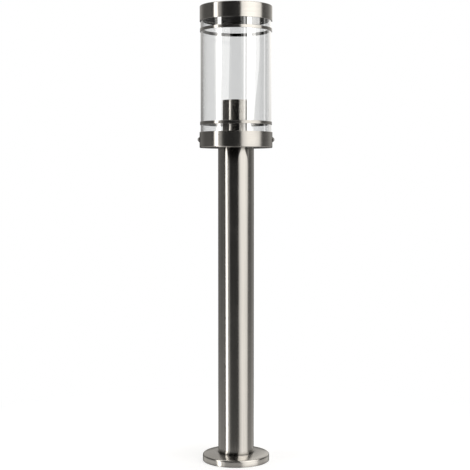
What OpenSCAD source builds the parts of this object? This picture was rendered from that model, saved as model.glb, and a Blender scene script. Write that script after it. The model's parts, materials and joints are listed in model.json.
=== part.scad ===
// Bollard light: a steel post on a covered foot, with a glass lantern over a screw lampholder.
// Millimetres, +Z up. The origin is the centre of the base plate's underside, on the ground.
// The lantern lifts off upwards, the base cover slides up the post, and two side screws,
// each with a swivel pad, hold the glass.

/* [Post and foot] */
// Height from the ground to the top of the cap
total_h = 800; // [700:5:1100]
// Outside diameter of the post tube
post_d = 63; // [62:0.5:64]
// Wall of the post tube
post_wall = 1.5; // [1.2:0.1:1.5]
// Diameter of the base plate
plate_d = 110; // [104:1:112]
// Thickness of the base plate
plate_t = 4; // [3:0.5:4]
// Diameter of the cable hole in the base plate
cable_hole_d = 24; // [16:1:28]
// Pitch circle of the three anchor holes
anchor_pcd = 88; // [86:1:90]
// Diameter of an anchor hole
anchor_hole_d = 7; // [5:0.5:8]
// Diameter of the base cover
cover_d = 118; // [116:1:124]
// Height of the base cover's side
cover_side_h = 12.5; // [12:0.5:14]
// Rise of the base cover from its side to the post
cover_rise = 2.7; // [2:0.1:3.5]

/* [Lantern] */
// Diameter of the cap
cap_d = 127; // [126.8:0.1:130]
// Height of the cap
cap_h = 26.5; // [24:0.5:30]
// Depth of the cap's underside above its rim
cap_recess = 3.5; // [2.5:0.5:5]
// Outside diameter of the glass cylinder
glass_d = 124; // [123.8:0.1:124]
// Wall of the glass cylinder
glass_wall = 3.5; // [3:0.1:3.5]
// Height from the top of the collar to the rim of the cap
window_h = 192.5; // [150:0.5:200]
// Height of each steel band around the glass
band_h = 5.5; // [4:0.5:8]
// Clear height from the collar to the lower band
band_gap_low = 12.5; // [8:0.5:20]
// Clear height from the upper band to the cap
band_gap_high = 12.7; // [8:0.1:20]

/* [Collar] */
// Diameter of the collar
collar_d = 128; // [128:0.1:130]
// Height of the collar
collar_h = 27.5; // [27:0.5:32]
// Wall of the collar
collar_wall = 1.8; // [1.6:0.1:1.8]

/* [Lampholder] */
// Outside diameter of the lampholder sleeve
sleeve_d = 47; // [43.8:0.1:48]
// Height of the lampholder sleeve above the lamp tray
sleeve_h = 61.5; // [60:0.5:66]
// Inside radius of the screw shell
shell_r = 13.3; // [13.1:0.1:13.4]

/* [Hidden] */
$fn = 96;
gap = 0.05;           // working clearance between pieces that touch or slide
thin = 1.2;           // thin sheet, used for the base cover, the cap and the tray
edge_r = 1.5;         // pressed outer edge of a sheet part
cover_edge_r = 3;     // the base cover's edge, which is rounder
cut = 1;              // how far a cutting shape passes the face it opens
hole_play = 0.1;      // radial play in a plain hole
loose_play = 0.25;    // radial play in a hole that a screw only passes through
slide_play = 0.3;     // radial play of the base cover on the post
glass_play = 0.5;     // radial play between the glass and what stands inside it
weld_leg = 3;         // leg of the weld around the post's foot

post_r = post_d / 2;
post_bore_r = post_r - post_wall;
plate_r = plate_d / 2;
cover_r = cover_d / 2;
cover_hole_r = post_r + slide_play;
cap_r = cap_d / 2;
glass_r = glass_d / 2;
glass_bore_r = glass_r - glass_wall;
collar_r = collar_d / 2;
collar_bore_r = collar_r - collar_wall;
sleeve_r = sleeve_d / 2;

cap_z = total_h - cap_h;               // rim of the cap
collar_top = cap_z - window_h;
collar_z = collar_top - collar_h;      // underside of the collar, top of the post
floor_t = 2;
floor_z = collar_z + floor_t;          // inside of the collar's floor
gasket_h = 2.5;
glass_z = floor_z + gasket_h;
seal_h = 1;
glass_top = cap_z + cap_recess - seal_h;
low_band_z = collar_top + band_gap_low;
high_band_z = cap_z - band_gap_high - band_h;

top_plate_t = 4;
top_plate_bore_r = 15;
collar_screw_r = 22;                   // radius of the ring of collar screws
m4_r = 2;
m4_hole_r = m4_r + gap;
m4_clear_r = m4_r + loose_play;
m4_head_r = 4;
m4_head_h = 2.6;
m4_nut_af = 7;
m4_nut_h = 3.2;
m3_r = 1.5;
m3_hole_r = m3_r + hole_play;
m3_head_r = 2.4;
m3_head_h = 2.2;

cable_r = 4.5;                         // bore of the cable grommet
grommet_r = 10;
grommet_flange_r = 12.5;
grommet_flange_h = 1.5;
clamp_y = -20;                         // cord clamp, in front of the grommet
clamp_l = 26;
clamp_w = 8;
clamp_h = 11;
clamp_screw_x = 9.5;

standoff_af = 7;
standoff_ring_r = 48;
standoff_h = 18.5;
tray_z = floor_z + standoff_h;
tray_top = tray_z + thin;
tray_r = glass_bore_r - glass_play;
tray_skirt = 4;

block_y = 40;                          // terminal block, hung under the tray
block_size = [24, 16, 13];
pole_pitch = 8;
pole_r = 2.2;
pole_z = tray_z - 8.5;                 // axis of the poles, below the tray
pole_screw_y = 3;                      // distance of each clamping screw from a pole's middle
pole_screw_r = 1.25;
block_fix_x = pole_pitch / 2;
block_fix_r = 1.3;
wire_r = 1.1;
wire_bend = 2.4;                       // length of each leg of a wire's bend
earth_at = [-36, -8];                  // earth stud on the collar's floor
earth_tag_t = 0.8;
earth_barrel_z = floor_z + 3;          // axis of the earth tag's barrel

nipple_r = 5;
nipple_bore_r = 3.9;
nipple_z = tray_z - 5.5;               // lower end of the nipple, below its nut
nipple_h = 15.5;
nipple_hole_r = nipple_r + hole_play;
nut_af = 14;
nut_h = 4;
tooth_washer_h = 0.8;

sleeve_wall = 1;
base_z = tray_top + sleeve_wall;       // lampholder base, on the sleeve's own floor
holder_r = 19.5;
base_h = 15.8;
body_z = base_z + base_h;
body_h = 41;
well_floor_t = 2;
well_h = 10;
seat_h = 4;
contact_well_z = body_z + well_floor_t;
contact_floor_z = contact_well_z + well_h;
shell_z = contact_floor_z + seat_h;
shell_h = 23;
shell_wall = 0.6;
shell_seat_r = 11.5;
well_r = 4.4;
holder_screw_y = 16.7;
holder_screw_z = body_z + body_h - m3_head_h - 0.2;    // seat of the sunk screw heads
terminal_t = 1.5;
rivet_r = 1.5;                         // rivet of the live terminal
rivet_head_h = 1;
strip_w = 5;                           // width of the terminals' strips
strip_t = 0.6;
spring_z = contact_well_z + rivet_head_h;
spring_h = 10;
spring_r = 3.1;
spring_wire_r = 0.35;
spring_turns = 5;

screw_z = floor_z + 12.5;                // axis of the two retaining screws
bush_flange_h = 1;
bush_flange_r = 4.6;
pad_r = 1.8;
bush_hole_r = pad_r + 1;
pad_h = 0.8;
screw_head_r = 3.8;
screw_head_h = 2.4;

// ---- shared shapes ----

// Points of an arc about c, from angle a0 to a1
function arc(c, r, a0, a1, n = 6) =
    [for (i = [0:n]) c + r * [cos(a0 + (a1 - a0) * i / n), sin(a0 + (a1 - a0) * i / n)]];

// Spins an outline, given as [radius, height] points, about Z
module spin(points) { rotate_extrude() polygon(points); }

module ring(r_in, r_out, z, h) {
    spin([[r_in, z], [r_out, z], [r_out, z + h], [r_in, z + h]]);
}

// Copies at equal angles on a circle
module around(count, r, start = 0) {
    for (i = [0:count - 1]) rotate(start + i * 360 / count) translate([r, 0, 0]) children();
}

module collar_screw_places() { around(3, collar_screw_r, 90) children(); }

module clamp_screw_places() {
    for (x = [-clamp_screw_x, clamp_screw_x]) translate([x, clamp_y, 0]) children();
}

module standoff_places() { around(3, standoff_ring_r, 30) children(); }

module hex(af, h) { cylinder(d = af / cos(30), h = h, $fn = 6); }

// Pan-head screw with a cross recess: the head stands on z = 0 and the shank hangs below it
module pan_screw(r, length, head_r, head_h) {
    corner = head_h * 0.6;
    recess = head_r * 0.9;
    slot = r * 0.4;
    difference() {
        spin(concat([[0, -length], [r, -length], [r, 0], [head_r, 0]],
            arc([head_r - corner, head_h - corner], corner, 0, 90), [[0, head_h]]));
        for (a = [0, 90]) rotate(a)
            translate([-recess / 2, -slot / 2, head_h / 2]) cube([recess, slot, head_h]);
    }
}

function unit(v) = v / norm(v);

// A path with each inner corner eased over a distance r
function eased(points, r, n = 5) = concat([points[0]],
    [for (i = [1:len(points) - 2], j = [0:n])
        let (b = points[i], t = j / n,
             s = b + r * unit(points[i - 1] - b), e = b + r * unit(points[i + 1] - b))
        (1 - t) * (1 - t) * s + 2 * t * (1 - t) * b + t * t * e],
    [points[len(points) - 1]]);

// Round wire along a path. across is a direction that the path never runs along.
module wire(path, r, across, sides = 12) {
    last = len(path) - 1;
    points = [for (i = [0:last], k = [0:sides - 1])
        let (t = unit(path[min(i + 1, last)] - path[max(i - 1, 0)]),
             u = unit(cross(t, across)), v = cross(t, u), a = 360 * k / sides)
        path[i] + r * (cos(a) * u + sin(a) * v)];
    skin = [for (i = [0:last - 1], k = [0:sides - 1])
        let (n = (k + 1) % sides)
        [i * sides + k, (i + 1) * sides + k, (i + 1) * sides + n, i * sides + n]];
    ends = [[for (k = [0:sides - 1]) k], [for (k = [sides - 1:-1:0]) last * sides + k]];
    polyhedron(points, concat(skin, ends));
}

// Height of the base cover's domed top at a radius
function dome(r) = cover_side_h
    + cover_rise * (1 - pow((r - cover_hole_r) / (cover_r - cover_edge_r - cover_hole_r), 2));

// ---- foot and post ----

module base_plate() {
    color("dimgray") difference() {
        cylinder(r = plate_r, h = plate_t);
        translate([0, 0, -cut]) {
            cylinder(d = cable_hole_d, h = plate_t + 2 * cut);
            around(3, anchor_pcd / 2, 90) cylinder(d = anchor_hole_d, h = plate_t + 2 * cut);
        }
    }
}

module foot_weld() {
    color("slategray") spin([[post_r, plate_t], [post_r + weld_leg, plate_t],
        [post_r, plate_t + weld_leg]]);
}

module post_tube() {
    color("silver") ring(post_bore_r, post_r, plate_t, collar_z - plate_t);
}

// Spun shell: a plain side, a rounded edge and a domed top with a hole for the post
module base_cover() {
    foot_gap = 0.3;
    steps = 8;
    top_r = cover_r - cover_edge_r;
    span = top_r - cover_hole_r;
    outer = [for (i = [0:steps]) let (r = top_r - span * i / steps) [r, dome(r)]];
    inner = [for (i = [steps:-1:0]) let (r = top_r - span * i / steps) [r, dome(r) - thin]];
    color("silver") spin(concat(
        [[cover_r, foot_gap]],
        arc([top_r, cover_side_h - cover_edge_r], cover_edge_r, 0, 80),
        outer, inner,
        arc([top_r, cover_side_h - cover_edge_r], cover_edge_r - thin, 80, 0),
        [[cover_r - thin, foot_gap]]));
}

// Rubber ring bonded under the cover's hole, which grips the post
module cover_grip_ring() {
    weld_clearance = 1.6;
    grip_w = 2.7;
    ring_z = plate_t + weld_leg + weld_clearance;
    out_r = cover_hole_r + grip_w;
    under = thin + gap;
    color("black") spin([[post_r + gap, ring_z], [out_r, ring_z], [out_r, dome(out_r) - under],
        [cover_hole_r, dome(cover_hole_r) - under], [post_r + gap, dome(cover_hole_r) - under]]);
}

module post_top_plate() {
    color("dimgray") difference() {
        ring(top_plate_bore_r, post_bore_r, collar_z - top_plate_t, top_plate_t);
        translate([0, 0, collar_z - top_plate_t - cut]) {
            collar_screw_places() cylinder(r = m4_hole_r, h = top_plate_t + 2 * cut);
            clamp_screw_places() cylinder(r = m3_hole_r, h = top_plate_t + 2 * cut);
        }
    }
}

// ---- collar and what it holds ----

// Deep cup that closes the post and takes the foot of the glass
module collar() {
    lip_r = 0.6;
    color("silver") difference() {
        spin(concat([[grommet_r, collar_z]],
            arc([collar_r - edge_r, collar_z + edge_r], edge_r, -90, 0),
            arc([collar_r - lip_r, collar_top - lip_r], lip_r, 0, 90, 3),
            [[collar_bore_r + lip_r / 2, collar_top], [collar_bore_r, collar_top - lip_r / 2],
             [collar_bore_r, floor_z], [grommet_r, floor_z]]));
        translate([0, 0, collar_z - cut]) {
            collar_screw_places() cylinder(r = m4_clear_r, h = floor_t + 2 * cut);
            clamp_screw_places() cylinder(r = m3_hole_r, h = floor_t + 2 * cut);
        }
        translate([-collar_r - cut, 0, screw_z]) rotate([0, 90, 0])
            cylinder(r = bush_hole_r, h = collar_d + 2 * cut);
    }
}

module collar_screws() {
    color("silver") collar_screw_places()
        translate([0, 0, floor_z]) pan_screw(m4_r, floor_t + top_plate_t, m4_head_r, m4_head_h);
}

module cable_grommet() {
    low = collar_z - grommet_flange_h;
    high = floor_z + grommet_flange_h;
    taper = 1;
    color("black") spin([[cable_r, low], [grommet_flange_r, low], [grommet_flange_r, collar_z],
        [grommet_r, collar_z], [grommet_r, floor_z], [grommet_flange_r, floor_z],
        [grommet_flange_r - taper, high], [cable_r, high]]);
}

// Saddle that holds the supply cable down on the collar's floor
module cord_clamp() {
    color("ivory") translate([0, clamp_y, floor_z]) difference() {
        translate([-clamp_l / 2, -clamp_w / 2, 0]) cube([clamp_l, clamp_w, clamp_h]);
        translate([0, -clamp_w, cable_r]) rotate([-90, 0, 0])
            cylinder(r = cable_r, h = 2 * clamp_w);
        translate([-cable_r, -clamp_w, -cut]) cube([2 * cable_r, 2 * clamp_w, cable_r + cut]);
        for (x = [-clamp_screw_x, clamp_screw_x])
            translate([x, 0, -cut]) cylinder(r = m3_hole_r, h = clamp_h + 2 * cut);
    }
}

module cord_clamp_screws() {
    color("silver") clamp_screw_places() translate([0, 0, floor_z + clamp_h])
        pan_screw(m3_r, clamp_h + floor_t + top_plate_t, m3_head_r, m3_head_h);
}

module earth_stud() {
    stud_h = 10.5;
    color("silver") translate([earth_at[0], earth_at[1], floor_z])
        cylinder(r = m4_r, h = stud_h);
}

// Direction from the earth stud to its pole on the terminal block
function earth_angle() =
    atan2(block_y - block_size[1] / 2 - earth_at[1], -pole_pitch - earth_at[0]);

// Ring tag with a crimped barrel, turned towards the terminal block
module earth_tag() {
    tag_r = 4.5;
    barrel_r = wire_r + 0.6;
    barrel_x = 5.5;
    barrel_l = 6;
    overlap = 2;
    color("goldenrod") translate([earth_at[0], earth_at[1], floor_z]) rotate(earth_angle())
        difference() {
            union() {
                cylinder(r = tag_r, h = earth_tag_t);
                translate([0, -barrel_r, 0])
                    cube([barrel_x + overlap, 2 * barrel_r, earth_tag_t]);
                translate([barrel_x, -barrel_r, 0])
                    cube([barrel_l, 2 * barrel_r, earth_barrel_z - floor_z]);
                translate([barrel_x, 0, earth_barrel_z - floor_z]) rotate([0, 90, 0])
                    cylinder(r = barrel_r, h = barrel_l);
            }
            translate([0, 0, -cut]) cylinder(r = m4_hole_r, h = earth_tag_t + 2 * cut);
            translate([barrel_x - cut, 0, earth_barrel_z - floor_z]) rotate([0, 90, 0])
                cylinder(r = wire_r + gap, h = barrel_l + 2 * cut);
        }
}

module earth_nut() {
    color("silver") translate([earth_at[0], earth_at[1], floor_z + earth_tag_t]) difference() {
        hex(m4_nut_af, m4_nut_h);
        translate([0, 0, -cut]) cylinder(r = m4_hole_r, h = m4_nut_h + 2 * cut);
    }
}

module glass_gasket() {
    color("black") ring(glass_bore_r - glass_play, collar_bore_r, floor_z, gasket_h);
}

// ---- lamp tray and wiring ----

module tray_standoffs() {
    thread_depth = 9;
    color("lightgray") standoff_places() translate([0, 0, floor_z]) difference() {
        hex(standoff_af, standoff_h);
        translate([0, 0, standoff_h - thread_depth])
            cylinder(r = m4_hole_r, h = thread_depth + cut);
    }
}

// Flat tray with a turned-down skirt
module lamp_tray() {
    color("gainsboro") difference() {
        spin(concat([[nipple_hole_r, tray_z], [tray_r - thin, tray_z],
            [tray_r - thin, tray_top - tray_skirt - thin], [tray_r, tray_top - tray_skirt - thin]],
            arc([tray_r - edge_r, tray_top - edge_r], edge_r, 0, 90),
            [[nipple_hole_r, tray_top]]));
        translate([0, 0, tray_z - cut]) {
            standoff_places() cylinder(r = m4_clear_r, h = thin + 2 * cut);
            block_screw_places() cylinder(r = block_fix_r + gap, h = thin + 2 * cut);
        }
    }
}

module tray_screws() {
    length = 8;
    color("silver") standoff_places()
        translate([0, 0, tray_top]) pan_screw(m4_r, length, m4_head_r, m4_head_h);
}

// Places of the terminal block's poles: earth, neutral and live
module pole_places() {
    for (i = [-1:1]) translate([i * pole_pitch, block_y, 0]) children();
}

// Places of the two clamping screws of each pole
module pole_screw_places() {
    pole_places() for (y = [-pole_screw_y, pole_screw_y]) translate([0, y, 0]) children();
}

module block_screw_places() {
    for (x = [-block_fix_x, block_fix_x]) translate([x, block_y, 0]) children();
}

// Moulded block, slit between the poles, with a driver hole under each clamping screw
module terminal_block() {
    driver_r = 1.7;
    driver_h = 5;
    slit = 0.8;
    slit_depth = 2;
    front = -block_size[1] / 2;
    low = tray_z - block_size[2];
    color("ivory") difference() {
        translate([-block_size[0] / 2, block_y + front, low]) cube(block_size);
        pole_places() translate([0, 2 * front, pole_z]) rotate([-90, 0, 0])
            cylinder(r = pole_r, h = 2 * block_size[1]);
        translate([0, 0, low - cut]) {
            pole_screw_places() cylinder(r = driver_r, h = driver_h + cut);
            block_screw_places() {
                cylinder(r = block_fix_r + gap, h = block_size[2] + 2 * cut);
                translate([-slit / 2, front - cut, 0])
                    cube([slit, slit_depth + cut, block_size[2] + 2 * cut]);
            }
        }
    }
}

module terminal_inserts() {
    insert_l = 10;
    bore_r = 1.5;
    color("goldenrod") difference() {
        pole_places() translate([0, -insert_l / 2, pole_z]) rotate([-90, 0, 0])
            cylinder(r = pole_r - gap, h = insert_l);
        pole_places() translate([0, -insert_l / 2 - cut, pole_z]) rotate([-90, 0, 0])
            cylinder(r = bore_r, h = insert_l + 2 * cut);
        pole_screw_places() translate([0, 0, pole_z - pole_r - cut])
            cylinder(r = pole_screw_r + gap, h = pole_r + cut);
    }
}

// Slotted grub screws, with their tips just inside the bore of the inserts
module terminal_screws() {
    length = 4;
    tip_z = pole_z - 0.6;
    slot = 0.4;
    slot_depth = 0.6;
    color("silver") pole_screw_places() translate([0, 0, tip_z - length]) difference() {
        cylinder(r = pole_screw_r, h = length);
        translate([-pole_screw_r - cut, -slot / 2, -cut])
            cube([2 * pole_screw_r + 2 * cut, slot, slot_depth + cut]);
    }
}

module block_screws() {
    length = 11;
    head_r = 2.3;
    head_h = 1.8;
    color("silver") block_screw_places()
        translate([0, 0, tray_top]) pan_screw(block_fix_r, length, head_r, head_h);
}

// Lamp wire: from a pole, across to the nipple and up through it to a holder terminal.
// side is 1 for the terminal on the right and -1 for the one on the left.
module lamp_wire(pole_x, side) {
    in_block = 2;
    in_nipple = [side * 2, 0, 0];
    at_terminal = [side * 7, 0, 0];
    above_nipple = 1.5;
    last_straight = 4;
    path = [[pole_x, block_y - block_size[1] / 2 + in_block, pole_z],
        in_nipple + [0, 0, pole_z],
        in_nipple + [0, 0, nipple_z + nipple_h + above_nipple],
        at_terminal + [0, 0, body_z - last_straight],
        at_terminal + [0, 0, body_z - terminal_t - gap]];
    wire(eased(path, wire_bend), wire_r, [1, 0, 0]);
}

module live_wire() { color("saddlebrown") lamp_wire(pole_pitch, 1); }

module neutral_wire() { color("steelblue") lamp_wire(0, -1); }

module earth_wire() {
    along = [cos(earth_angle()), sin(earth_angle()), 0];
    stud = [earth_at[0], earth_at[1], 0];
    in_barrel = 7;
    rise_from = 13;
    rise_to = 20;
    in_block = 1;
    path = [stud + in_barrel * along + [0, 0, earth_barrel_z],
        stud + rise_from * along + [0, 0, earth_barrel_z],
        stud + rise_to * along + [0, 0, pole_z],
        [-pole_pitch, block_y - block_size[1] / 2 + in_block, pole_z]];
    color("yellowgreen") wire(eased(path, wire_bend), wire_r, [1, 0, 0]);
}

// ---- lampholder ----

module holder_nipple() {
    color("goldenrod") ring(nipple_bore_r, nipple_r, nipple_z, nipple_h);
}

module toothed_washer() {
    out_r = 8.5;
    color("silver") ring(nipple_hole_r, out_r, tray_z - tooth_washer_h, tooth_washer_h);
}

module nipple_nut() {
    color("goldenrod") translate([0, 0, tray_z - tooth_washer_h - nut_h]) difference() {
        hex(nut_af, nut_h);
        translate([0, 0, -cut]) cylinder(r = nipple_r + gap, h = nut_h + 2 * cut);
    }
}

// Steel pot around the lampholder, held down through the hole in its floor
module holder_sleeve() {
    top = tray_top + sleeve_h;
    lip_r = 0.4;
    color("silver") spin(concat([[nipple_hole_r, tray_top], [sleeve_r, tray_top]],
        arc([sleeve_r - lip_r, top - lip_r], lip_r, 0, 90, 3),
        [[sleeve_r - sleeve_wall, top], [sleeve_r - sleeve_wall, base_z],
         [nipple_hole_r, base_z]]));
}

module holder_screw_places() {
    for (y = [-holder_screw_y, holder_screw_y]) translate([0, y, 0]) children();
}

module holder_base() {
    base_floor = 3;
    cavity_r = 15;
    color("white") difference() {
        ring(nipple_r + gap, holder_r, base_z, base_h);
        translate([0, 0, base_z + base_floor]) cylinder(r = cavity_r, h = base_h);
        holder_screw_places()
            translate([0, 0, base_z + base_floor]) cylinder(r = m3_hole_r, h = base_h);
    }
}

// Ceramic body: a socket for the screw shell above a well for the centre contact
module holder_body() {
    slot_w = strip_w + 0.4;
    slot_t = strip_t + 1;
    slot_end = shell_z + 8;
    color("white") difference() {
        translate([0, 0, body_z]) cylinder(r = holder_r, h = body_h);
        translate([0, 0, shell_z]) cylinder(r = shell_r + shell_wall + gap, h = body_h);
        translate([0, 0, contact_floor_z]) cylinder(r = shell_seat_r, h = body_h);
        translate([0, 0, contact_well_z]) cylinder(r = well_r, h = body_h);
        translate([0, 0, body_z - cut])
            cylinder(r = rivet_r + hole_play, h = well_floor_t + 2 * cut);
        translate([-shell_r - shell_wall - slot_t / 2, -slot_w / 2, body_z - cut])
            cube([slot_t, slot_w, slot_end - body_z + cut]);
        holder_screw_places() {
            translate([0, 0, body_z - cut]) cylinder(r = m3_hole_r, h = body_h + 2 * cut);
            translate([0, 0, holder_screw_z]) cylinder(r = m3_head_r + gap, h = m3_head_h + cut);
        }
    }
}

module holder_screws() {
    in_base = 8;
    color("silver") holder_screw_places() translate([0, 0, holder_screw_z])
        pan_screw(m3_r, body_h + in_base, m3_head_r, m3_head_h);
}

module screw_shell() {
    color("goldenrod") ring(shell_r, shell_r + shell_wall, shell_z, shell_h);
}

// Strip from the screw shell's side down to the neutral wire
module side_contact() {
    strip_x = -shell_r - shell_wall - gap - strip_t;
    strip_end = shell_z + 6;
    tab_end = -5;
    color("goldenrod") translate([strip_x, -strip_w / 2, body_z - terminal_t]) {
        cube([strip_t, strip_w, strip_end - body_z + terminal_t]);
        cube([tab_end - strip_x, strip_w, terminal_t]);
    }
}

// Riveted plug under the contact spring, with a tab for the live wire
module live_terminal() {
    head_r = well_r - 0.2;
    tab_start = -2;
    tab_end = 9;
    color("goldenrod") {
        translate([0, 0, contact_well_z]) cylinder(r = head_r, h = rivet_head_h);
        translate([0, 0, body_z - terminal_t])
            cylinder(r = rivet_r, h = terminal_t + well_floor_t);
        translate([tab_start, -strip_w / 2, body_z - terminal_t])
            cube([tab_end - tab_start, strip_w, terminal_t]);
    }
}

// Closed coil spring: rings of points along a helix, skinned and capped at both ends
module contact_spring() {
    per_turn = 14;
    sides = 6;
    count = per_turn * spring_turns;
    rise = spring_h - 2 * spring_wire_r;
    points = [for (i = [0:count], k = [0:sides - 1])
        let (a = 360 * i / per_turn, b = 360 * k / sides,
             r = spring_r + spring_wire_r * cos(b))
        [r * cos(a), r * sin(a),
         spring_z + spring_wire_r + rise * i / count + spring_wire_r * sin(b)]];
    skin = [for (i = [0:count - 1], k = [0:sides - 1])
        let (n = (k + 1) % sides)
        [i * sides + k, i * sides + n, (i + 1) * sides + n, (i + 1) * sides + k]];
    ends = [[for (k = [sides - 1:-1:0]) k], [for (k = [0:sides - 1]) count * sides + k]];
    color("silver") polyhedron(points, concat(skin, ends));
}

// Sprung plunger: a domed head on a stem that runs inside the spring
module centre_contact() {
    head_z = spring_z + spring_h;
    head_r = 4;
    edge = 0.8;
    stem_r = 1.8;
    stem_l = 6;
    color("goldenrod") {
        spin(concat([[0, head_z], [head_r, head_z]],
            arc([head_r - edge, head_z + edge], edge, 0, 90, 4), [[0, head_z + 2 * edge]]));
        translate([0, 0, head_z - stem_l]) cylinder(r = stem_r, h = stem_l + edge);
    }
}

module holder_mouth_ring() {
    ring_h = 2.2;
    color("white")
        ring(shell_r + 1, sleeve_r - sleeve_wall - hole_play, body_z + body_h, ring_h);
}

// ---- retaining screws ----

// Places a piece drawn along +X from the collar's axis on the right (1) or the left (-1)
module at_side(side) {
    translate([0, 0, screw_z]) rotate(side > 0 ? 0 : 180) children();
}

// A piece spun about X, given as [radius, distance from the collar's axis] points
module spin_x(points) { rotate([0, 90, 0]) spin(points); }

// Threaded bush riveted into each side of the collar
module screw_bushes() {
    barrel_r = bush_hole_r - gap;
    inner = collar_bore_r + gap;
    rim = collar_r + bush_flange_h;
    chamfer = 0.25;
    color("lightgray") for (side = [-1, 1]) at_side(side)
        spin_x([[m4_hole_r, inner], [barrel_r, inner], [barrel_r, collar_r + gap],
            [bush_flange_r, collar_r + gap], [bush_flange_r, rim - chamfer],
            [bush_flange_r - chamfer, rim], [m4_hole_r, rim]]);
}

// Slotted dome-head screw, whose tip bears on its pad
module retaining_screw(side) {
    head_x = collar_r + bush_flange_h + gap;
    dome_r = (pow(screw_head_r, 2) + pow(screw_head_h, 2)) / (2 * screw_head_h);
    dome_half = asin(screw_head_r / dome_r);
    slot_w = 0.9;
    slot_x = head_x + screw_head_h / 2;
    color("silver") at_side(side) difference() {
        spin_x(concat(
            [[0, glass_r + gap + pad_h], [m4_r, glass_r + gap + pad_h], [m4_r, head_x]],
            arc([0, head_x + screw_head_h - dome_r], dome_r, 90 - dome_half, 90, 6)));
        translate([slot_x, -slot_w / 2, -screw_head_r])
            cube([screw_head_h, slot_w, 2 * screw_head_r]);
    }
}

module left_retaining_screw() { retaining_screw(-1); }

module right_retaining_screw() { retaining_screw(1); }

// Soft pad on the tip of the screw, pressed on the glass
module screw_pad(side) {
    inner = glass_r + gap / 2;
    color("black") at_side(side)
        spin_x([[0, inner], [pad_r, inner], [pad_r, inner + pad_h], [0, inner + pad_h]]);
}

module left_screw_pad() { screw_pad(-1); }

module right_screw_pad() { screw_pad(1); }

// ---- lantern ----

module glass_cylinder() {
    arris = 0.5;
    color("lightcyan", 0.4) spin([[glass_bore_r, glass_z + arris],
        [glass_bore_r + arris, glass_z], [glass_r - arris, glass_z], [glass_r, glass_z + arris],
        [glass_r, glass_top - arris], [glass_r - arris, glass_top],
        [glass_bore_r + arris, glass_top], [glass_bore_r, glass_top - arris]]);
}

// Steel band round the glass, with softened edges
module band(z) {
    soft = 0.3;
    band_t = 1;
    out_r = glass_r + band_t;
    in_r = glass_r + gap;
    color("silver") spin([[in_r, z], [out_r - soft, z], [out_r, z + soft],
        [out_r, z + band_h - soft], [out_r - soft, z + band_h], [in_r, z + band_h]]);
}

module lower_band() { band(low_band_z); }

module upper_band() { band(high_band_z); }

module cap_seal() {
    color("gray") ring(glass_bore_r, glass_r, glass_top, seal_h);
}

// Flat dark plate that closes the cap, with an upturned rim fixed inside the cap's wall
module cap_inner_plate() {
    plate_z = cap_z + cap_recess;
    rim_h = 12;
    bend = 1;
    out_r = cap_r - thin;
    color("dimgray") spin([[0, plate_z], [out_r - bend, plate_z], [out_r, plate_z + bend],
        [out_r, plate_z + rim_h], [out_r - thin, plate_z + rim_h],
        [out_r - thin, plate_z + thin], [0, plate_z + thin]]);
}

module cap_shell() {
    hem = 0.3;
    color("silver") spin(concat(
        [[cap_r - thin + hem, cap_z], [cap_r - hem, cap_z], [cap_r, cap_z + hem]],
        arc([cap_r - edge_r, total_h - edge_r], edge_r, 0, 90),
        [[0, total_h], [0, total_h - thin], [cap_r - thin, total_h - thin],
         [cap_r - thin, cap_z + hem]]));
}

base_plate();
foot_weld();
post_tube();
base_cover();
cover_grip_ring();
post_top_plate();
collar();
collar_screws();
cable_grommet();
cord_clamp();
cord_clamp_screws();
earth_stud();
earth_tag();
earth_nut();
glass_gasket();
tray_standoffs();
lamp_tray();
tray_screws();
terminal_block();
terminal_inserts();
terminal_screws();
block_screws();
live_wire();
neutral_wire();
earth_wire();
holder_nipple();
toothed_washer();
nipple_nut();
holder_sleeve();
holder_base();
holder_body();
holder_screws();
screw_shell();
side_contact();
live_terminal();
contact_spring();
centre_contact();
holder_mouth_ring();
screw_bushes();
left_retaining_screw();
right_retaining_screw();
left_screw_pad();
right_screw_pad();
glass_cylinder();
lower_band();
upper_band();
cap_seal();
cap_inner_plate();
cap_shell();
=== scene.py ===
"""Bollard light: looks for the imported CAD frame. Metres, +Z up, origin under the foot."""
import json
import math

import bmesh
import bpy
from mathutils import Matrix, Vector


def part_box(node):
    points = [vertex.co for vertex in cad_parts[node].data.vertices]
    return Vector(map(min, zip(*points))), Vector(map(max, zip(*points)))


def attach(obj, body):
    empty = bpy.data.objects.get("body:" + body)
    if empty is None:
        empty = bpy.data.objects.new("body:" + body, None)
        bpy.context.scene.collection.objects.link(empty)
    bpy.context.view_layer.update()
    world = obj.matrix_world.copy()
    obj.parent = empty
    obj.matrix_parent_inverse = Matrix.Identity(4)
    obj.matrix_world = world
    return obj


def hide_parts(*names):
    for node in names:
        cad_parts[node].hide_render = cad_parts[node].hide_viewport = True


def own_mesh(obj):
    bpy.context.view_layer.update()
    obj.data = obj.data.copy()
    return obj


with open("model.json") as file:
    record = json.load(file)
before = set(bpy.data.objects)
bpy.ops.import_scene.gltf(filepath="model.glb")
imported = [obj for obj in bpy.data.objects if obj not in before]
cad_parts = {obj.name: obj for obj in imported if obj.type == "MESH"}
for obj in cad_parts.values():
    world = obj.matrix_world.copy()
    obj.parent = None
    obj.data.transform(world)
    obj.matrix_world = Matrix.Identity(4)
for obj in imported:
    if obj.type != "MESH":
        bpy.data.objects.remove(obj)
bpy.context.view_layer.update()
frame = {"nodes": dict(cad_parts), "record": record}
NODES = frame["nodes"]

# ---- sizes read from the frame ----

GLASS_LOW, GLASS_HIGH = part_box("glass_cylinder")
GLASS_RADIUS = (GLASS_HIGH.x - GLASS_LOW.x) / 2
CAP_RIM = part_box("cap_shell")[0].z
COLLAR_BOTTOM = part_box("collar")[0].z


# ---- node helpers ----

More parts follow.
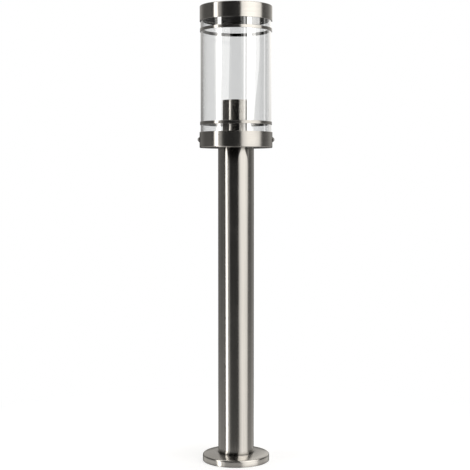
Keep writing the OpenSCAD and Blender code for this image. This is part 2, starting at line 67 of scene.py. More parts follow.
class Nodes:
    """Short ways to write a node tree: most calls add a node and return the output it is for."""

    def __init__(self, tree):
        self.tree = tree
        tree.nodes.clear()

    def add(self, kind, **settings):
        node = self.tree.nodes.new(kind)
        for key, value in settings.items():
            setattr(node, key, value)
        return node

    def plug(self, value, socket):
        """Links a socket, or sets a plain value."""
        if isinstance(value, bpy.types.NodeSocket):
            self.tree.links.new(value, socket)
        else:
            socket.default_value = value

    def math(self, operation, a, b=0.0, clamp=False):
        node = self.add("ShaderNodeMath", operation=operation, use_clamp=clamp)
        self.plug(a, node.inputs[0])
        self.plug(b, node.inputs[1])
        return node.outputs[0]

    def smooth(self, value, low, high, to_low=0.0, to_high=1.0):
        """A smooth step from to_low, where value is low, to to_high, where value is high."""
        return self.ramp("SMOOTHSTEP", value, low, high, to_low, to_high)

    def linear(self, value, low, high, to_low=0.0, to_high=1.0):
        """A straight ramp between the same two ends."""
        return self.ramp("LINEAR", value, low, high, to_low, to_high)

    def ramp(self, shape, *given):
        """The node behind the two above, with its five values in the node's own order."""
        node = self.add("ShaderNodeMapRange", interpolation_type=shape)
        for socket, value in zip(node.inputs, given):
            self.plug(value, socket)
        return node.outputs[0]

    def sum(self, first, *others):
        """All the values added together."""
        for other in others:
            first = self.math("ADD", first, other)
        return first

    def product(self, first, *others):
        """All the values multiplied together."""
        for other in others:
            first = self.math("MULTIPLY", first, other)
        return first

    def distance(self, x, y):
        """Length of the level vector x, y."""
        return self.math("SQRT", self.sum(self.product(x, x), self.product(y, y)))

    def mix(self, factor, a, b):
        node = self.add("ShaderNodeMix", data_type="RGBA")
        self.plug(factor, node.inputs["Factor"])
        self.plug(a, node.inputs[6])
        self.plug(b, node.inputs[7])
        return node.outputs[2]

    def combine(self, x, y, z):
        node = self.add("ShaderNodeCombineXYZ")
        for value, socket in zip((x, y, z), node.inputs):
            self.plug(value, socket)
        return node.outputs[0]

    def azimuth(self, x, y):
        """Angle of a level direction in degrees: 0 towards the camera's side, + to the right."""
        return self.math("DEGREES", self.math("ARCTAN2", x, self.product(y, -1.0)))

    def mirror_direction(self):
        """Azimuth and upward share of the direction that the surface mirrors."""
        split = self.add("ShaderNodeSeparateXYZ")
        self.plug(self.add("ShaderNodeTexCoord").outputs["Reflection"], split.inputs[0])
        x, y, z = split.outputs
        return self.azimuth(x, y), z

    def noise(self, vector, scale, detail=2.0, roughness=0.5, distortion=0.0):
        node = self.add("ShaderNodeTexNoise")
        self.plug(vector, node.inputs["Vector"])
        node.inputs["Scale"].default_value = scale
        node.inputs["Detail"].default_value = detail
        node.inputs["Roughness"].default_value = roughness
        node.inputs["Distortion"].default_value = distortion
        return node.outputs[0]

    def both(self, a, b):
        """Two shaders added together."""
        node = self.add("ShaderNodeAddShader")
        self.plug(a, node.inputs[0])
        self.plug(b, node.inputs[1])
        return node.outputs[0]

    def glowing(self, strength, colour=(1.0, 1.0, 1.0, 1.0)):
        node = self.add("ShaderNodeEmission")
        self.plug(strength, node.inputs["Strength"])
        node.inputs["Color"].default_value = colour
        return node.outputs[0]

    def blend(self, factor, a, b):
        """Shader a where factor is 0, b where it is 1."""
        node = self.add("ShaderNodeMixShader")
        for value, socket in zip((factor, a, b), node.inputs):
            self.plug(value, socket)
        return node.outputs[0]

    def bump(self, height, strength, distance, normal=None):
        node = self.add("ShaderNodeBump")
        node.inputs["Strength"].default_value = strength
        node.inputs["Distance"].default_value = distance
        self.plug(height, node.inputs["Height"])
        if normal is not None:
            self.plug(normal, node.inputs["Normal"])
        return node.outputs[0]


def rgb(r, g, b):
    return (r, g, b, 1.0)


def scaled(colour, share):
    """A colour made lighter or darker, as an RGBA value."""
    return rgb(*(min(1.0, channel * share) for channel in colour))


def new_material(name):
    """A material with a Principled shader, and the helper for its tree."""
    material = bpy.data.materials.new(name)
    material.use_nodes = True
    tree = Nodes(material.node_tree)
    shader = tree.add("ShaderNodeBsdfPrincipled")
    output = tree.add("ShaderNodeOutputMaterial")
    tree.plug(shader.outputs[0], output.inputs["Surface"])
    return material, tree, shader


def object_point(tree):
    """Position on the object, and its separate x, y and z."""
    point = tree.add("ShaderNodeTexCoord").outputs["Object"]
    split = tree.add("ShaderNodeSeparateXYZ")
    tree.plug(point, split.inputs[0])
    return point, *split.outputs


def edge_mask(tree, radius):
    """1 on sharp edges, 0 on flat ground: how far a rounded normal leaves the true one."""
    bevel = tree.add("ShaderNodeBevel", samples=4)
    bevel.inputs["Radius"].default_value = radius
    geometry = tree.add("ShaderNodeNewGeometry")
    dot = tree.add("ShaderNodeVectorMath", operation="DOT_PRODUCT")
    tree.plug(bevel.outputs[0], dot.inputs[0])
    tree.plug(geometry.outputs["Normal"], dot.inputs[1])
    return tree.smooth(dot.outputs["Value"], 0.995, 0.9)


# ---- metals ----

def painted_collar_shade(tree, z):
    """Painted shade on the post under the overhanging collar, a factor for its colour: near the collar
    only the middles of the two lights' reflections are left unshaded, and they widen to their full
    size further down."""
    darkest = 0.12
    soft = 5.0
    below = tree.math("SUBTRACT", COLLAR_BOTTOM, z)
    opening = tree.smooth(below, -0.002, 0.026)
    azimuth, _ = tree.mirror_direction()
    out_of_reach = tree.smooth(tree.math("ABSOLUTE", azimuth), 76.0, 88.0)
    clear = tree.math("MAXIMUM", tree.smooth(below, 0.008, 0.034), out_of_reach)
    panel = (45.0, 12.0, 26.0)
    lamp = (-67.0, 4.0, 14.0)
    for centre, narrow, wider in (panel, lamp):
        off = tree.math("ABSOLUTE", tree.math("SUBTRACT", azimuth, centre))
        half = tree.sum(tree.product(opening, wider), narrow)
        light = tree.smooth(tree.math("SUBTRACT", off, half), soft, -soft)
        clear = tree.math("MAXIMUM", clear, light)
    return tree.linear(clear, 0.0, 1.0, darkest, 1.0)


def brushed_steel(name, grain, rough, turn=0.0):
    """Brushed stainless steel. grain "turned" runs round the post's axis, "drawn" runs along it.
    turn, in degrees, swings the normals round that axis, and so the reflections by twice as much."""
    tint = (0.66, 0.64, 0.61)
    worn_edge = rgb(0.82, 0.81, 0.79)
    painted_shade_colour = rgb(0.03, 0.028, 0.025)
    lines = 1400.0
    coarser = 0.13
    round_lines = 2.5
    spread = 0.8
    material, tree, shader = new_material(name)
    point, x, y, z = object_point(tree)
    radius = tree.distance(x, y)
    off_axis = tree.math("MAXIMUM", radius, 1e-4)
    round_x = tree.math("DIVIDE", x, off_axis)
    round_y = tree.math("DIVIDE", y, off_axis)
    if grain == "turned":
        across = tree.product(tree.sum(z, radius), lines)
        fine = tree.combine(tree.product(round_x, round_lines), tree.product(round_y, round_lines), across)
        coarse = tree.combine(round_x, round_y, tree.product(across, coarser))
    else:
        fine = tree.combine(tree.product(x, lines), tree.product(y, lines), tree.product(z, 9.0))
        coarse = tree.combine(
            tree.product(x, lines * coarser), tree.product(y, lines * coarser), tree.product(z, 3.0))
    scratch = tree.noise(fine, 1.0, 3.0, 0.6)
    streak = tree.noise(coarse, 1.0, 2.0, 0.5)
    smudge = tree.noise(point, 26.0, 3.0, 0.55, 0.4)
    grain_value = tree.sum(tree.product(scratch, 0.6), tree.product(streak, 0.4))
    wear = edge_mask(tree, 0.0006)
    colour = tree.mix(tree.smooth(grain_value, 0.36, 0.64), scaled(tint, 0.95), scaled(tint, 1.05))
    colour = tree.mix(tree.product(wear, 0.5), colour, worn_edge)
    # Painted shade: the colour darkens to near black where other geometry is within 7 mm, in joints and
    # under overhangs
    shade_from_near_geometry = tree.add("ShaderNodeAmbientOcclusion", samples=4)
    shade_from_near_geometry.inputs["Distance"].default_value = 0.007
    colour = tree.mix(tree.smooth(shade_from_near_geometry.outputs["AO"], 0.9, 0.45, 0.0, 0.85), colour, painted_shade_colour)
    # Painted shade: the drawn post's colour darkens towards black under the collar
    if grain == "drawn":
        colour = tree.mix(painted_collar_shade(tree, z), rgb(0.0, 0.0, 0.0), colour)
    tree.plug(colour, shader.inputs["Base Color"])
    shader.inputs["Metallic"].default_value = 1.0
    grained = tree.linear(scratch, 0.3, 0.7, rough * 0.93, rough * 1.07)
    marked = tree.sum(grained, tree.linear(smudge, 0.45, 0.75, 0.0, 0.035))
    tree.plug(tree.math("SUBTRACT", marked, tree.product(wear, 0.06)), shader.inputs["Roughness"])
    # The shine spreads up and down, across the tangent that runs round the axis
    shader.inputs["Anisotropic"].default_value = spread
    shader.inputs["Anisotropic Rotation"].default_value = 0.25
    tangent = tree.add("ShaderNodeTangent", direction_type="RADIAL", axis="Z")
    tree.plug(tangent.outputs[0], shader.inputs["Tangent"])
    normal = None
    if turn:
        swing = tree.add("ShaderNodeVectorRotate", rotation_type="Z_AXIS")
        tree.plug(tree.add("ShaderNodeNewGeometry").outputs["Normal"], swing.inputs["Vector"])
        swing.inputs["Angle"].default_value = math.radians(turn)
        normal = swing.outputs[0]
    tree.plug(tree.bump(scratch, 0.05, 0.00004, normal), shader.inputs["Normal"])
    return material


def polished_steel(name, tint, rough):
    """Rolled or plated steel with a faint orange peel and a few dull patches."""
    material, tree, shader = new_material(name)
    point, *_ = object_point(tree)
    patch = tree.noise(point, 60.0, 4.0, 0.6)
    speck = tree.noise(point, 900.0, 2.0, 0.5)
    wear = edge_mask(tree, 0.0004)
    colour = tree.mix(tree.smooth(patch, 0.35, 0.7), scaled(tint, 0.88), rgb(*tint))
    tree.plug(tree.mix(wear, colour, scaled(tint, 1.25)), shader.inputs["Base Color"])
    shader.inputs["Metallic"].default_value = 1.0
    tree.plug(tree.linear(patch, 0.3, 0.7, rough * 0.8, rough * 1.3), shader.inputs["Roughness"])
    tree.plug(tree.bump(speck, 0.06, 0.00006), shader.inputs["Normal"])
    return material


def galvanised_steel():
    """Zinc-coated steel: a spangle of dull grey cells."""
    material, tree, shader = new_material("galvanised_steel")
    point, *_ = object_point(tree)
    cells = tree.add("ShaderNodeTexVoronoi", feature="F1")
    tree.plug(point, cells.inputs["Vector"])
    cells.inputs["Scale"].default_value = 300.0
    shade = tree.add("ShaderNodeSeparateColor")
    tree.plug(cells.outputs["Color"], shade.inputs[0])
    spangle = shade.outputs[0]
    haze = tree.noise(point, 45.0, 4.0, 0.6)
    colour = tree.mix(spangle, rgb(0.42, 0.43, 0.44), rgb(0.60, 0.61, 0.62))
    colour = tree.mix(tree.smooth(haze, 0.5, 0.8, 0.0, 0.5), colour, rgb(0.70, 0.70, 0.69))
    tree.plug(colour, shader.inputs["Base Color"])
    shader.inputs["Metallic"].default_value = 0.85
    tree.plug(tree.linear(spangle, 0.0, 1.0, 0.36, 0.52), shader.inputs["Roughness"])
    tree.plug(tree.bump(haze, 0.15, 0.0001), shader.inputs["Normal"])
    return material


def brass():
    """Yellow brass with a little brown tarnish away from the edges."""
    material, tree, shader = new_material("brass")
    point, *_ = object_point(tree)
    tarnish = tree.noise(point, 110.0, 4.0, 0.65)
    fine = tree.noise(point, 1500.0, 2.0, 0.5)
    wear = edge_mask(tree, 0.0003)
    clean = rgb(0.83, 0.62, 0.28)
    tarnished = rgb(0.48, 0.30, 0.12)
    rubbed = rgb(0.92, 0.76, 0.42)
    colour = tree.mix(tree.smooth(tarnish, 0.45, 0.75, 0.0, 0.7), clean, tarnished)
    tree.plug(tree.mix(wear, colour, rubbed), shader.inputs["Base Color"])
    shader.inputs["Metallic"].default_value = 1.0
    tree.plug(tree.linear(tarnish, 0.3, 0.75, 0.20, 0.42), shader.inputs["Roughness"])
    tree.plug(tree.bump(fine, 0.06, 0.00005), shader.inputs["Normal"])
    return material


# ---- other materials ----

def clear_glass():
    """Drawn soda-lime glass: a faint grey tint, slow ripples along its length and a trace of dust.
    It mirrors little of the studio by itself. The upright white bands of the two lights are painted
    reflections: a glow that the shader adds by mirror direction, on the outside and on the far side of
    the bore."""
    material, tree, shader = new_material("clear_glass")
    point, x, y, z = object_point(tree)
    ripple_at = tree.combine(x, y, tree.product(z, 0.12))
    ripple = tree.noise(ripple_at, 38.0, 1.0, 0.4)
    dust = tree.noise(point, 420.0, 3.0, 0.6)
    shader.inputs["Base Color"].default_value = rgb(0.848, 0.851, 0.851)
    shader.inputs["Transmission Weight"].default_value = 1.0
    shader.inputs["IOR"].default_value = 1.5
    shader.inputs["Specular IOR Level"].default_value = 0.12
    tree.plug(tree.smooth(dust, 0.66, 0.80, 0.0, 0.05), shader.inputs["Roughness"])
    tree.plug(tree.bump(ripple, 0.05, 0.0006), shader.inputs["Normal"])

    # Painted reflections: bands of emission by mirror azimuth stand in for the studio's lamp and panel
    # mirrored in the glass
    mirrored, upward = tree.mirror_direction()
    waver = tree.product(tree.math("SUBTRACT", ripple, 0.5), 2.0)
    azimuth = tree.sum(mirrored, waver)
    soft = 1.2

    def rises(edge):
        return tree.smooth(tree.math("SUBTRACT", azimuth, edge), -soft, soft)

    def band(low, high, strength):
        falls = tree.smooth(tree.math("SUBTRACT", azimuth, high), soft, -soft)
        return tree.product(rises(low), falls, strength)

    # Some edges lean between two heights on the glass, and two strengths change under the cap
    lean_from = GLASS_LOW.z + 0.162
    lean_to = GLASS_LOW.z + 0.022
    cap_from = CAP_RIM - 0.0165
    cap_to = CAP_RIM - 0.0085
    lamp_edge = tree.linear(z, lean_from, lean_to + 0.04, -48.5, -51.5)
    wide_edge = tree.smooth(z, lean_from, lean_to, 82.0, 58.0)
    middle_edge = tree.smooth(z, lean_from, lean_to, 66.0, 46.0)
    by_the_cap = tree.smooth(z, cap_from, cap_to, 0.0, 0.3)
    left_haze = tree.smooth(z, cap_from, cap_to, 0.07, 0.01)
    front = tree.sum(
        band(-61.5, lamp_edge, 1.0),        # the lamp
        band(-178.0, -140.0, 0.10),         # haze to the left of it
        band(-175.0, -72.0, left_haze),
        band(24.5, 30.4, 0.36),             # a thin line before the panel
        band(35.4, 51.0, 0.6),              # the panel, in three steps
        band(35.4, middle_edge, 0.36),
        band(35.4, wide_edge, 0.22),
        band(66.0, 82.0, by_the_cap),
        band(102.0, 108.0, 0.20),           # thin lines towards the right edge
        band(108.0, 124.0, 0.05),
        band(124.0, 136.0, 0.24),
        band(136.0, 178.0, 0.5))
    far_edge = tree.linear(z, lean_from + 0.04, lean_to + 0.06, 21.0, 26.0)
    far_side = tree.product(rises(far_edge), tree.smooth(azimuth, 80.0, 72.0), 0.25)

    # The glow is on the faces turned to the eye, off the level rims, and unseen in other pieces
    outside = tree.math("GREATER_THAN", tree.distance(x, y), GLASS_RADIUS - 0.0015)
    inside = tree.math("SUBTRACT", 1.0, outside)
    facing = tree.math("SUBTRACT", 1.0, tree.add("ShaderNodeNewGeometry").outputs["Backfacing"])
    upright = tree.smooth(tree.math("ABSOLUTE", upward), 0.85, 0.6)
    path = tree.add("ShaderNodeLightPath")
    bounced = tree.math(
        "SUBTRACT", path.outputs["Is Glossy Ray"], path.outputs["Is Transmission Ray"], clamp=True)
    direct = tree.math("SUBTRACT", 1.0, bounced)
    painted_reflection_glow = tree.sum(tree.product(front, outside), tree.product(far_side, inside))
    shader.inputs["Emission Color"].default_value = rgb(1.0, 0.99, 0.97)
    tree.plug(tree.product(painted_reflection_glow, facing, upright, direct), shader.inputs["Emission Strength"])
    return material


def rubber(name, colour, rough=0.62):
    """Moulded rubber: matt, slightly pebbled, greyer where it has bloomed."""
    material, tree, shader = new_material(name)
    point, *_ = object_point(tree)
    pebble = tree.noise(point, 1300.0, 2.0, 0.6)
    bloom = tree.noise(point, 70.0, 4.0, 0.6)
    pale = rgb(*(min(1.0, c * 1.7 + 0.02) for c in colour))
    tree.plug(tree.mix(tree.smooth(bloom, 0.5, 0.8), rgb(*colour), pale), shader.inputs["Base Color"])
    tree.plug(tree.linear(bloom, 0.3, 0.7, rough * 0.9, rough * 1.15), shader.inputs["Roughness"])
    tree.plug(tree.bump(pebble, 0.25, 0.00008), shader.inputs["Normal"])
    return material


def silicone():
    """Clear-grey silicone bead, soft and slightly see-through."""
    material, tree, shader = new_material("grey_silicone")
    point, *_ = object_point(tree)
    cloud = tree.noise(point, 160.0, 3.0, 0.5)
    tree.plug(tree.mix(cloud, rgb(0.42, 0.42, 0.41), rgb(0.56, 0.56, 0.55)), shader.inputs["Base Color"])
    shader.inputs["Subsurface Weight"].default_value = 0.4
    shader.inputs["Subsurface Radius"].default_value = (0.002, 0.002, 0.002)
    tree.plug(tree.linear(cloud, 0.3, 0.7, 0.30, 0.42), shader.inputs["Roughness"])
    tree.plug(tree.bump(cloud, 0.1, 0.0001), shader.inputs["Normal"])
    return material


def ceramic():
    """White glazed steatite: warm white, glossy, with pin specks and a wavy glaze."""
    material, tree, shader = new_material("white_ceramic")
    point, *_ = object_point(tree)
    wave = tree.noise(point, 120.0, 2.0, 0.5)
    speck = tree.noise(point, 1100.0, 2.0, 0.6)
    colour = tree.mix(tree.smooth(wave, 0.3, 0.7), rgb(0.84, 0.82, 0.77), rgb(0.90, 0.89, 0.85))
    colour = tree.mix(tree.smooth(speck, 0.70, 0.74, 0.0, 0.6), colour, rgb(0.45, 0.40, 0.33))
    tree.plug(colour, shader.inputs["Base Color"])
    tree.plug(tree.linear(wave, 0.3, 0.7, 0.16, 0.28), shader.inputs["Roughness"])
    shader.inputs["Coat Weight"].default_value = 0.5
    shader.inputs["Coat Roughness"].default_value = 0.06
    tree.plug(tree.bump(wave, 0.08, 0.0003), shader.inputs["Normal"])
    return material


def nylon():
    """Ivory moulded nylon with a fine spark-eroded skin."""
    material, tree, shader = new_material("ivory_nylon")
    point, *_ = object_point(tree)
    skin = tree.noise(point, 1600.0, 2.0, 0.6)
    cloud = tree.noise(point, 90.0, 3.0, 0.5)
    tree.plug(tree.mix(cloud, rgb(0.76, 0.73, 0.62), rgb(0.84, 0.82, 0.73)), shader.inputs["Base Color"])
    shader.inputs["Subsurface Weight"].default_value = 0.15
    shader.inputs["Subsurface Radius"].default_value = (0.002, 0.0015, 0.001)
    tree.plug(tree.linear(skin, 0.3, 0.7, 0.38, 0.50), shader.inputs["Roughness"])
    tree.plug(tree.bump(skin, 0.15, 0.00005), shader.inputs["Normal"])
    return material


def cable_skin(name, colour, stripe=None):
    """Flexible wire insulation, with a spiral stripe where one is given."""
    material, tree, shader = new_material(name)
    point, x, y, z = object_point(tree)
    scuff = tree.noise(point, 500.0, 3.0, 0.6)
    base = tree.mix(tree.smooth(scuff, 0.4, 0.7), rgb(*colour), scaled(colour, 1.25))
    if stripe is not None:
        wave = tree.math("SINE", tree.product(tree.sum(x, y, z), 1500.0))
        base = tree.mix(tree.smooth(wave, -0.1, 0.1), base, rgb(*stripe))
    tree.plug(base, shader.inputs["Base Color"])
    tree.plug(tree.linear(scuff, 0.3, 0.7, 0.30, 0.42), shader.inputs["Roughness"])
    tree.plug(tree.bump(scuff, 0.08, 0.00005), shader.inputs["Normal"])
    return material


MATERIALS = {
    "turned_steel": brushed_steel("turned_steel", "turned", rough=0.195),
    "drawn_steel": brushed_steel("drawn_steel", "drawn", rough=0.185),
    "sleeve_steel": brushed_steel("sleeve_steel", "turned", rough=0.185, turn=-5.5),
    # Painted shade: a darker copy of the plated steel, for the two retaining screws
    "shaded_screw_steel": polished_steel("shaded_screw_steel", (0.34, 0.33, 0.32), 0.2),
    "dark_steel": polished_steel("dark_steel", (0.15, 0.145, 0.14), 0.14),
    "plated_steel": polished_steel("plated_steel", (0.68, 0.68, 0.66), 0.22),
    "galvanised_steel": galvanised_steel(),
    "brass": brass(),
    "clear_glass": clear_glass(),
    "black_rubber": rubber("black_rubber", (0.022, 0.022, 0.023)),
    "grey_silicone": silicone(),
    "white_ceramic": ceramic(),
    "ivory_nylon": nylon(),
    "brown_insulation": cable_skin("brown_insulation", (0.16, 0.06, 0.025)),
    "blue_insulation": cable_skin("blue_insulation", (0.04, 0.14, 0.48)),
    "green_yellow_insulation": cable_skin(
        "green_yellow_insulation", (0.72, 0.62, 0.06), stripe=(0.05, 0.32, 0.08)),
}

# The record's slots whose material has another name
SLOT_MATERIAL = {
    "brushed_steel": "turned_steel",
    "zinc_steel": "galvanised_steel",
}


def dress(piece, slot_name, material_name=None):
    """Gives a piece the material of its slot, or another one by name."""
    name = material_name or SLOT_MATERIAL.get(slot_name, slot_name)
    piece.data.materials.clear()
    piece.data.materials.append(MATERIALS[name])
    for polygon in piece.data.polygons:
        polygon.material_index = 0


# Nodes whose finish differs from the rest of their slot
NODE_MATERIAL = {
    "post_tube": "drawn_steel",
    "holder_sleeve": "sleeve_steel",
    "left_retaining_screw": "shaded_screw_steel",
    "right_retaining_screw": "shaded_screw_steel",
}

for row in frame["record"]["subparts"]:
    dress(NODES[row["node"]], row["material_slot"], NODE_MATERIAL.get(row["node"]))


# ---- pieces made here: the contact's coil spring and the rolled Edison thread ----

def new_piece(name, grid, slot_name, node, closed_along=False):
    """A smooth mesh through rings of points, in place of a CAD node on the post. The last ring
    joins the first where closed_along is true; otherwise both ends are closed by a face."""
    shape = bmesh.new()
    rings = [[shape.verts.new(point) for point in ring] for ring in grid]
    steps = len(rings) if closed_along else len(rings) - 1
    for i in range(steps):
        ring, following = rings[i], rings[(i + 1) % len(rings)]
        for k in range(len(ring)):
            n = (k + 1) % len(ring)
            shape.faces.new((ring[k], ring[n], following[n], following[k]))
    if not closed_along:
        shape.faces.new(rings[0][::-1])
        shape.faces.new(rings[-1])
    bmesh.ops.recalc_face_normals(shape, faces=shape.faces)
    for face in shape.faces:
        face.smooth = True
    mesh = bpy.data.meshes.new(name)
    shape.to_mesh(mesh)
    shape.free()
    piece = bpy.data.objects.new(name, mesh)
    bpy.context.scene.collection.objects.link(piece)
    dress(piece, slot_name)
    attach(piece, "post")
    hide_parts(node)
    return piece


def circle(radius, count):
    """Points of a level circle about the post's axis, at height 0."""
    angles = [2 * math.pi * k / count for k in range(count)]
    return [Vector((radius * math.cos(a), radius * math.sin(a), 0.0)) for a in angles]


def make_contact_coil():
    """The spring under the centre contact: round wire, with one closed turn at each end."""
    low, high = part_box("contact_spring")
    wire_r = 0.00035
    turns = 5
    turn_steps = 40
    wire_sides = 12
    full_height = high.z - low.z
    coil_r = (high.x - low.x) / 2 - wire_r
    tight_pitch = 2 * wire_r
    open_turns = turns - 2
    open_pitch = (full_height - 2 * wire_r - 2 * tight_pitch) / open_turns

    def height(turn):
        """Height of the wire's middle above its start: tight, then open, then tight again."""
        in_open = min(max(turn - 1, 0.0), open_turns)
        return (turn - in_open) * tight_pitch + in_open * open_pitch

    outwards = circle(1.0, turn_steps)
    upwards = Vector((0.0, 0.0, 1.0))
    grid = []
    for step in range(turns * turn_steps + 1):
        outward = outwards[step % turn_steps]
        middle = outward * coil_r + upwards * (low.z + wire_r + height(step / turn_steps))
        grid.append([
            middle + wire_r * (spot.x * outward + spot.y * upwards) for spot in circle(1.0, wire_sides)])
    coil = new_piece("contact_coil", grid, "plated_steel", "contact_spring")
    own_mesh(coil)


def make_threaded_shell():
    """The lampholder's brass shell with its rolled Edison thread, plain at both rims."""
    low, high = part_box("screw_shell")
    outer_r = (high.x - low.x) / 2
    full_height = high.z - low.z
    wall = 0.0006
    pitch = 0.00363
    depth = 0.00105
    plain = 0.0012
    turn_steps = 120
    pitch_steps = 14
    levels = round(full_height / pitch * pitch_steps)
    heights = [low.z + full_height * i / levels for i in range(levels + 1)]

    def dip(turn, z):
        """How far the thread draws the wall inwards here."""
        from_rim = min(z - low.z, high.z - z)
        fade = min(max((from_rim - plain) / plain, 0.0), 1.0)
        return depth * fade * (0.5 - 0.5 * math.cos(2 * math.pi * ((z - low.z) / pitch - turn)))

    def ring(radius, z):
        return [spot * (1 - dip(k / turn_steps, z) / radius) + Vector((0.0, 0.0, z))
                for k, spot in enumerate(circle(radius, turn_steps))]

    outside = [ring(outer_r, z) for z in heights]
    inside = [ring(outer_r - wall, z) for z in heights[::-1]]
    new_piece("threaded_shell", outside + inside, "brass", "screw_shell", closed_along=True)


make_contact_coil()
make_threaded_shell()

# ---- stage: floor, studio and camera ----

CAMERA_HEIGHT = 0.4964
CAMERA_DISTANCE = 1.939
CAMERA_ASIDE = -0.0018
AIM_HEIGHT = 0.4003
FOCAL_LENGTH = 84.33
SENSOR_WIDTH = 36.0
WARM_WHITE = rgb(1.0, 0.975, 0.93)
WHITE = rgb(1.0, 1.0, 1.0)


def make_floor():
    """A pale floor, white in the picture. Reflections see only a small white table round the
    foot and, past its edge, the studio's lights carrying on below."""
    half = 12.0
    mesh = bpy.data.meshes.new("floor")
    corners = [(-half, -half, 0), (half, -half, 0), (half, half, 0), (-half, half, 0)]
    mesh.from_pydata(corners, [], [(0, 1, 2, 3)])
    floor = bpy.data.objects.new("floor", mesh)
    bpy.context.scene.collection.objects.link(floor)
    material = bpy.data.materials.new("floor")
    material.use_nodes = True
    tree = Nodes(material.node_tree)
    point, x, y, _ = object_point(tree)
    from_post = tree.distance(x, y)
    # What the camera sees: a pale glow that still takes a faint shadow, plain white further out
    plain = tree.add("ShaderNodeBsdfDiffuse")
    mottle = tree.mix(tree.noise(point, 3.0, 3.0), rgb(0.47, 0.47, 0.47), rgb(0.53, 0.53, 0.53))
    tree.plug(mottle, plain.inputs["Color"])
    near = tree.both(plain.outputs[0], tree.glowing(tree.smooth(from_post, 0.06, 0.4, 0.72, 1.0)))
    seen = tree.blend(tree.smooth(from_post, 0.12, 0.7), near, tree.glowing(1.0))
    # What the steel reflects: the table, brighter in front of the foot than behind it
    table = tree.product(tree.smooth(from_post, 0.13, 0.07), tree.linear(y, -0.08, 0.02, 0.40, 0.10))
    mirrored = tree.both(tree.glowing(table, WARM_WHITE), tree.add("ShaderNodeBsdfTransparent").outputs[0])
    is_glossy = tree.add("ShaderNodeLightPath").outputs["Is Glossy Ray"]
    output = tree.add("ShaderNodeOutputMaterial")
    tree.plug(tree.blend(is_glossy, seen, mirrored), output.inputs["Surface"])
    mesh.materials.append(material)


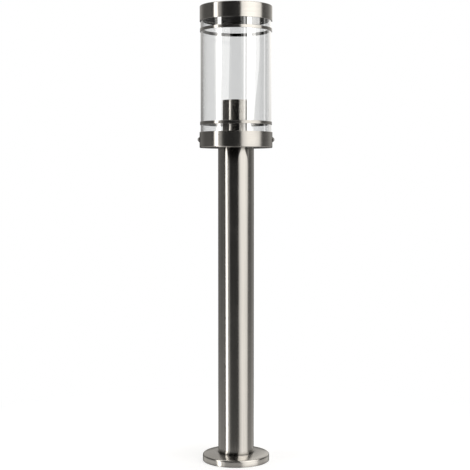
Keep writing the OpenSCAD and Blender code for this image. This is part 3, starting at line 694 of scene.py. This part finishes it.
def studio_light(tree):
    """Strength of the studio's light by direction, in degrees: azimuth 0 is the camera's side and
    + is to the right. A dark room has a narrow lamp on the left and a wide soft panel on the right."""
    split = tree.add("ShaderNodeSeparateXYZ")
    tree.plug(tree.add("ShaderNodeTexCoord").outputs["Generated"], split.inputs[0])
    x, y, z = split.outputs
    azimuth = tree.azimuth(x, y)
    elevation = tree.math("DEGREES", tree.math("ARCSINE", z))
    aside = tree.math("ABSOLUTE", azimuth)

    def strip(centre, half, soft, strength):
        """A band of azimuth of one strength, fading to 0 over soft degrees each side."""
        off = tree.math("ABSOLUTE", tree.math("SUBTRACT", azimuth, centre))
        return tree.product(tree.smooth(off, half + soft, half - soft), strength)

    # The room: dark in front, lighter to the sides and behind, above and below
    sides = tree.smooth(aside, 72.0, 88.0, 0.006, 0.09)
    back = tree.smooth(aside, 105.0, 150.0, 0.0, 0.07)
    closing = tree.smooth(azimuth, 178.0, 168.0)
    right = tree.product(tree.smooth(azimuth, 95.0, 150.0, 0.0, 0.14), closing)
    right_edge = tree.product(tree.smooth(azimuth, 148.0, 164.0, 0.0, 0.3), closing)
    back_wall = tree.product(tree.smooth(aside, 120.0, 160.0), tree.smooth(elevation, 1.0, 12.0, 0.0, 0.26))
    below = tree.product(
        tree.smooth(elevation, -10.0, -17.0, 0.0, 0.15), tree.smooth(aside, 20.0, 60.0, 0.5, 1.0))
    near_foot = tree.product(tree.smooth(elevation, -6.0, -13.0), tree.smooth(aside, 15.0, 60.0, 0.03, 0.11))
    ceiling = tree.product(
        tree.smooth(elevation, 28.0, 75.0, 0.0, 0.45), tree.smooth(aside, 20.0, 60.0, 0.25, 1.0))
    room = tree.sum(sides, back, right, right_edge, back_wall, below, near_foot, ceiling)

    # The lamp leans a little, and has a fainter shoulder on its right
    lamp_centre = tree.linear(elevation, -14.0, 9.0, -59.0, -67.5)
    lamp = strip(lamp_centre, 5.6, 4.0, 3.0)
    shoulder = strip(tree.sum(lamp_centre, 15.0), 4.0, 4.0, 0.40)

    # The panel is brighter towards its top and in its middle
    by_height = tree.sum(
        tree.smooth(elevation, -18.0, -3.0, 0.78, 1.12), tree.smooth(elevation, 2.0, 12.0, 0.0, 0.8))
    near_share = tree.smooth(elevation, 4.0, 9.0, 0.62, 0.88)
    by_near_side = tree.smooth(azimuth, 17.0, 42.0, near_share, 1.0)
    by_far_side = tree.smooth(azimuth, 82.0, 56.0, 0.78, 1.0)
    bright = tree.product(by_height, by_near_side, by_far_side)
    near_edge = tree.sum(
        tree.smooth(elevation, -1.0, 9.0, 19.5, 15.5), tree.smooth(elevation, -8.0, -14.0, 0.0, 3.0))
    near_soft = tree.smooth(elevation, 3.0, 8.0, 6.0, 2.5)
    inwards = tree.math("DIVIDE", tree.math("SUBTRACT", azimuth, near_edge), near_soft)
    far_edge = tree.smooth(elevation, -1.0, 10.0, 80.0, 88.0)
    far_soft = 6.0
    past = tree.math("SUBTRACT", azimuth, far_edge)
    panel = tree.product(bright, tree.smooth(inwards, -1.0, 1.0), tree.smooth(past, far_soft, -far_soft))

    # The lights end above and below, and it is darkest low down behind the post
    ends = tree.smooth(tree.math("ABSOLUTE", elevation), 62.0, 40.0)
    pit = tree.product(tree.smooth(aside, 140.0, 160.0), tree.smooth(elevation, 7.0, -2.0))
    left_in_pit = tree.math("SUBTRACT", 1.0, tree.product(pit, 0.85))
    return tree.product(tree.sum(room, tree.product(tree.sum(lamp, shoulder, panel), ends)), left_in_pit)


def make_studio():
    """White to the camera, also where it looks straight through glass; the studio to all else."""
    world = bpy.data.worlds.new("studio")
    bpy.context.scene.world = world
    world.use_nodes = True
    tree = Nodes(world.node_tree)
    studio = tree.add("ShaderNodeBackground")
    studio.inputs["Color"].default_value = WARM_WHITE
    tree.plug(studio_light(tree), studio.inputs["Strength"])
    white = tree.add("ShaderNodeBackground")
    white.inputs["Color"].default_value = WHITE
    path = tree.add("ShaderNodeLightPath")
    bounces = tree.sum(path.outputs["Glossy Depth"], path.outputs["Diffuse Depth"])
    through = tree.product(path.outputs["Is Transmission Ray"], tree.math("LESS_THAN", bounces, 0.5))
    seen = tree.math("MAXIMUM", path.outputs["Is Camera Ray"], through)
    output = tree.add("ShaderNodeOutputWorld")
    tree.plug(tree.blend(seen, studio.outputs[0], white.outputs[0]), output.inputs["Surface"])


def make_camera():
    data = bpy.data.cameras.new("camera")
    data.lens = FOCAL_LENGTH
    data.sensor_width = SENSOR_WIDTH
    camera = bpy.data.objects.new("camera", data)
    bpy.context.scene.collection.objects.link(camera)
    camera.location = (CAMERA_ASIDE, -CAMERA_DISTANCE, CAMERA_HEIGHT)
    aim = Vector((CAMERA_ASIDE, 0.0, AIM_HEIGHT)) - camera.location
    camera.rotation_mode = "QUATERNION"
    camera.rotation_quaternion = aim.to_track_quat("-Z", "Y")
    bpy.context.scene.camera = camera


make_floor()
make_studio()
make_camera()
bpy.context.scene.view_settings.view_transform = "Standard"
